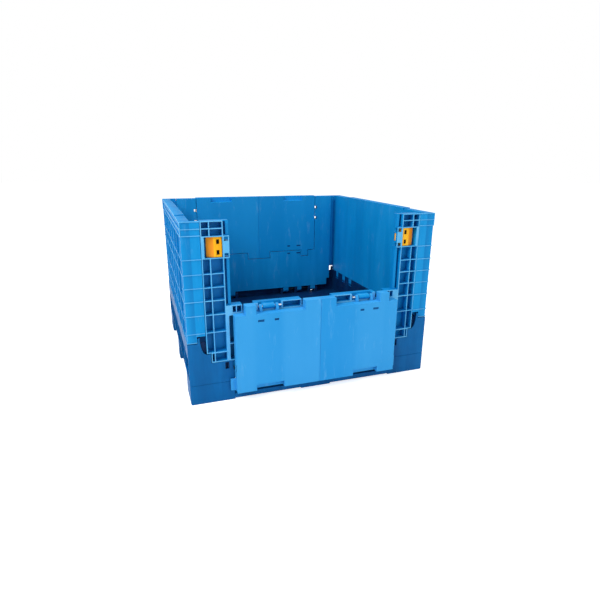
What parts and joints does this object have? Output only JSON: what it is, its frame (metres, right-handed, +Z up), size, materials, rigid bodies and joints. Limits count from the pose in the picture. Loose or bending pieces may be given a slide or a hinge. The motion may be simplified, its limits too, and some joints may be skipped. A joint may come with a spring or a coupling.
{
  "type": "collapsible bulk container",
  "caption": "Collapsible pallet box on skids, with ribbed fold-down walls, corner flanges and drop-down doors held by slide latches.",
  "frame": {"origin": "on the ground under the centre of the base, on the bottom face of the middle skid's centre foot", "axes": "+Z up, -Y out through the open front door, +X to the right seen from the front"},
  "size_m": [1.219, 1.207, 0.84],
  "materials": {
    "base_plastic": "moulded, satin",
    "wall_plastic": "moulded, satin",
    "door_plastic": "moulded, satin with scuffs",
    "latch_plastic": "moulded, satin",
    "steel": "bright drawn rod"
  },
  "bodies": {
    "base": {"base": "base_plastic", "skid_front_foot_left": "base_plastic", "skid_front_foot_centre": "base_plastic", "skid_front_foot_right": "base_plastic", "skid_middle_foot_left": "base_plastic", "skid_middle_foot_centre": "base_plastic", "skid_middle_foot_right": "base_plastic", "skid_rear_foot_left": "base_plastic", "skid_rear_foot_centre": "base_plastic", "skid_rear_foot_right": "base_plastic", "skid_front_bar_left": "base_plastic", "skid_front_bar_right": "base_plastic", "skid_middle_bar_left": "base_plastic", "skid_middle_bar_right": "base_plastic", "skid_rear_bar_left": "base_plastic", "skid_rear_bar_right": "base_plastic", "left_side_wall": "wall_plastic", "right_side_wall": "wall_plastic", "front_hinge_rod_left": "steel", "front_hinge_rod_right": "steel", "rear_hinge_rod_left": "steel", "rear_hinge_rod_right": "steel", "left_side_rod_front": "steel", "left_side_rod_rear": "steel", "right_side_rod_front": "steel", "right_side_rod_rear": "steel"},
    "front_wall": {"front_wall_frame": "wall_plastic", "front_door_pin_left": "steel", "front_door_pin_right": "steel"},
    "rear_wall": {"rear_wall_frame": "wall_plastic", "rear_door_pin_left": "steel", "rear_door_pin_right": "steel"},
    "front_door": {"front_door": "door_plastic"},
    "rear_door": {"rear_door": "door_plastic"},
    "front_latch_left": {"front_latch_left": "latch_plastic"},
    "front_latch_right": {"front_latch_right": "latch_plastic"},
    "rear_latch_left": {"rear_latch_left": "latch_plastic"},
    "rear_latch_right": {"rear_latch_right": "latch_plastic"}
  },
  "joints": [
    {"name": "front_wall_fold", "type": "hinge", "parent": "base", "child": "front_wall", "pos_m": [0, -0.5475, 0.18], "axis": [-1, 0, 0], "range_deg": [0, 90]},
    {"name": "rear_wall_fold", "type": "hinge", "parent": "base", "child": "rear_wall", "pos_m": [0, 0.5475, 0.18], "axis": [1, 0, 0], "range_deg": [0, 83.5]},
    {"name": "front_door_swing", "type": "hinge", "parent": "front_wall", "child": "front_door", "pos_m": [0, -0.5745, 0.446], "axis": [-1, 0, 0], "range_deg": [0, 180]},
    {"name": "rear_door_swing", "type": "hinge", "parent": "rear_wall", "child": "rear_door", "pos_m": [0, 0.5745, 0.446], "axis": [-1, 0, 0], "range_deg": [0, 180]},
    {"name": "front_latch_left_slide", "type": "slide", "parent": "front_wall", "child": "front_latch_left", "axis": [1, 0, 0], "range_m": [0, 0.014]},
    {"name": "front_latch_right_slide", "type": "slide", "parent": "front_wall", "child": "front_latch_right", "axis": [-1, 0, 0], "range_m": [0, 0.014]},
    {"name": "rear_latch_left_slide", "type": "slide", "parent": "rear_wall", "child": "rear_latch_left", "axis": [1, 0, 0], "range_m": [0, 0.014]},
    {"name": "rear_latch_right_slide", "type": "slide", "parent": "rear_wall", "child": "rear_latch_right", "axis": [-1, 0, 0], "range_m": [0, 0.014]}
  ]
}
